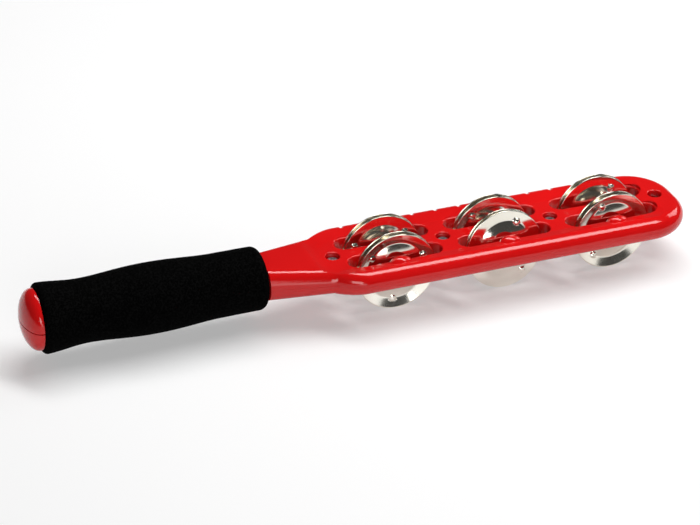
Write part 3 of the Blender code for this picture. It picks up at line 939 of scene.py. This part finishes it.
def screw(number):
    low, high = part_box(f"screw_{number}")
    shape = bmesh.new()
    places = [(radius, 0, level) for radius, level in screw_profile(high.z, low.z)]
    turned(shape, places, axis=(0, 0, 1), steps=48, closed=False)
    bmesh.ops.remove_doubles(shape, verts=shape.verts, dist=WELD)
    bmesh.ops.recalc_face_normals(shape, faces=shape.faces)
    body = helper("screw_body", shape)
    for turn in (CROSS_TURN, CROSS_TURN + math.pi / 2):
        arm = bmesh.new()
        place = Matrix.Translation((0, 0, high.z)) @ Matrix.Rotation(turn, 4, "Z")
        bmesh.ops.create_cube(arm, size=1, matrix=place @ Matrix.Diagonal((*CROSS_SIZE, 1)))
        cut(body, helper("cross", arm))
    shape = shape_of(body)
    bmesh.ops.translate(shape, vec=((low.x + high.x) / 2, 0, 0), verts=shape.verts)
    made = piece(f"fastener_{number}", shape, ZINC, "screws", "stick", f"screw_{number}")
    smooth(made, 35)
    print(made.name, "faces", len(made.data.polygons))


for number in SCREWS:
    screw(number)

# %% [markdown]
# ## Studio
# The stick stands on a plain pale floor that is wide enough to be the backdrop too. The camera and every
# mirror see the floor a little brighter than its lamps make it, through Light Path, so that it is nearly
# white while the light that it throws on the stick stays low.

# %% Floor
FLOOR_HALF = 6.0
FLOOR_GREY = 0.62
FLOOR_GLOW = 0.34


def floor():
    shape = bmesh.new()
    bmesh.ops.create_grid(shape, x_segments=1, y_segments=1, size=FLOOR_HALF)
    material, tree, shader, place = new_material("pale_floor")
    shader.inputs["Base Color"].default_value = (FLOOR_GREY, FLOOR_GREY, FLOOR_GREY, 1.0)
    tone = noise(tree, place, 3.0, 2.0)
    tree.links.new(levels(tree, tone, 0.75, 0.85), shader.inputs["Roughness"])
    path = tree.nodes.new("ShaderNodeLightPath")
    seen = path.outputs["Is Camera Ray"]
    for other in ("Is Glossy Ray", "Is Transmission Ray"):
        either = tree.nodes.new("ShaderNodeMath")
        either.operation = "MAXIMUM"
        tree.links.new(seen, either.inputs[0])
        tree.links.new(path.outputs[other], either.inputs[1])
        seen = either.outputs["Value"]
    shader.inputs["Emission Color"].default_value = (1, 1, 1, 1)
    tree.links.new(levels(tree, seen, 0.0, FLOOR_GLOW), shader.inputs["Emission Strength"])
    made = helper("floor", shape)
    made.data.materials.append(material)
    print("floor", 2 * FLOOR_HALF, "m wide")


floor()

# %% [markdown]
# ### Light
# One large soft lamp hangs nearly overhead, which draws the long highlights along the near rim, and a
# weaker one fills from the camera's side. A square one at the far right makes the hot spot on the rounded
# end, and a strip low in front shows in the domes of the jingles. The room round them is dark grey, so
# that the red stays deep and the jingles show both the bright floor and the dark room.

# %% Lamps and world
WORLD_GREY = 0.06


def lamp(name, place, aim, width, depth, power):
    light = bpy.data.lights.new(name, "AREA")
    light.shape = "RECTANGLE"
    light.size = width
    light.size_y = depth
    light.energy = power
    made = bpy.data.objects.new(name, light)
    bpy.context.scene.collection.objects.link(made)
    made.location = place
    made.rotation_euler = (Vector(aim) - Vector(place)).to_track_quat("-Z", "Y").to_euler()


lamp("overhead", (0.26, 0.12, 0.85), (0.10, 0, 0.02), 1.15, 0.24, 9.0)
lamp("fill", (-0.42, -1.15, 0.45), (0, 0, 0.02), 0.60, 0.42, 5.0)
lamp("side", (0.95, 0.30, 0.60), (0.20, 0, 0.02), 0.42, 0.42, 2.6)
lamp("strip", (-0.11, -0.80, 0.09), (0, 0, 0.02), 0.34, 0.15, 0.5)


def world():
    made = bpy.data.worlds.new("studio")
    bpy.context.scene.world = made
    made.use_nodes = True
    back = made.node_tree.nodes["Background"]
    back.inputs["Color"].default_value = (WORLD_GREY, WORLD_GREY, WORLD_GREY, 1)
    back.inputs["Strength"].default_value = 1.0


world()
print("lamps", [light.name for light in bpy.data.lights])

# %% [markdown]
# ## Camera
# The photograph was taken from the handle's side of the stick, about thirty degrees above it. A camera
# was fitted to the places of the slots, holes and edges in the picture, and its place and long lens are
# given here from the middle of the first slot.

# %% Camera
FIRST_SLOT = Vector((slot_x[0], 0, MIDDLE))
CAMERA_OFFSET = Vector((-0.387975, -0.913857, 0.575164))
AZIMUTH = math.radians(22.09)
ELEVATION = math.radians(30.29)
ROLL = math.radians(0.98)
FOCAL_PIXELS = 2729.5
IMAGE_WIDTH = 700


def camera():
    data = bpy.data.cameras.new("camera")
    data.sensor_width = 36.0
    data.sensor_fit = "HORIZONTAL"
    data.lens = FOCAL_PIXELS / IMAGE_WIDTH * data.sensor_width
    made = bpy.data.objects.new("camera", data)
    bpy.context.scene.collection.objects.link(made)
    back = Vector(
        (
            -math.sin(AZIMUTH) * math.cos(ELEVATION),
            -math.cos(AZIMUTH) * math.cos(ELEVATION),
            math.sin(ELEVATION),
        )
    )
    level = Vector((math.cos(AZIMUTH), -math.sin(AZIMUTH), 0))
    upright = back.cross(level)
    right = level * math.cos(ROLL) + upright * math.sin(ROLL)
    up = upright * math.cos(ROLL) - level * math.sin(ROLL)
    turn = Matrix((right, up, back)).transposed().to_4x4()
    made.matrix_world = Matrix.Translation(FIRST_SLOT + CAMERA_OFFSET) @ turn
    bpy.context.scene.camera = made
    print("lens", round(data.lens, 1), "mm")


camera()
bpy.context.scene.view_settings.view_transform = "Standard"
